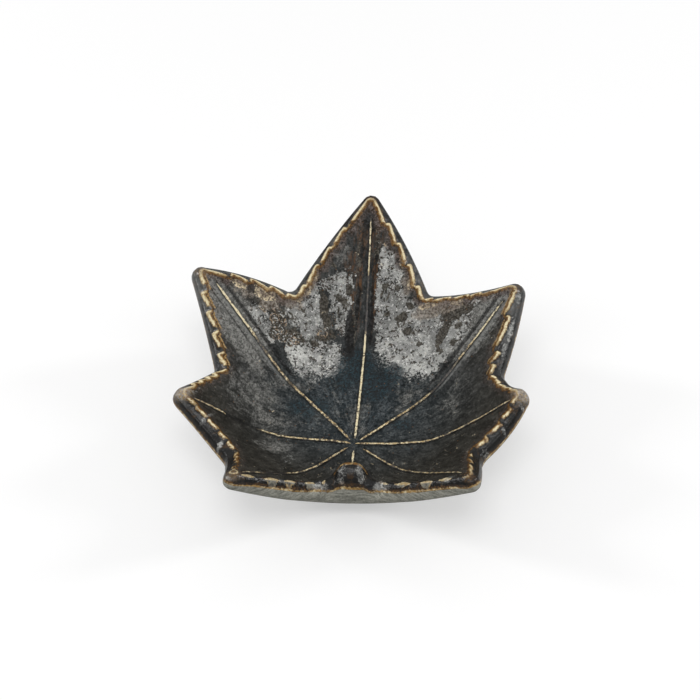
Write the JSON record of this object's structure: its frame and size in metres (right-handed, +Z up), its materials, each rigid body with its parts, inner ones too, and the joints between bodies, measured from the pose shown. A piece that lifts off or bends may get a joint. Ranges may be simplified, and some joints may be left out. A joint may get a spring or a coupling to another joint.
{
  "type": "leaf dish",
  "caption": "Small stoneware dish pressed from a slab cut as a lobed maple leaf, with raised veins, a notch for the stalk and a foot ring; holds snacks, sweets, keys or rings.",
  "frame": {"origin": "On the table, under the middle of the leaf's outline seen from above.", "axes": "+Z is up, out of the bowl. +Y points along the longest lobe, away from the notch for the stalk. +X is to the right of that."},
  "size_m": [0.1114, 0.1172, 0.0425],
  "materials": {
    "dark_glaze": "semi-gloss, mottled near-black with silver-grey and teal",
    "bare_stoneware": "matte, unglazed grey",
    "cream_glaze_line": "satin, glaze broken thin over a raised line"
  },
  "bodies": {
    "root": {"leaf_body": "dark_glaze", "foot_ring": "bare_stoneware", "centre_vein": "cream_glaze_line", "back_left_vein": "cream_glaze_line", "back_right_vein": "cream_glaze_line", "side_left_vein": "cream_glaze_line", "side_right_vein": "cream_glaze_line", "front_left_vein": "cream_glaze_line", "front_right_vein": "cream_glaze_line", "stalk_vein": "cream_glaze_line"}
  },
  "joints": []
}
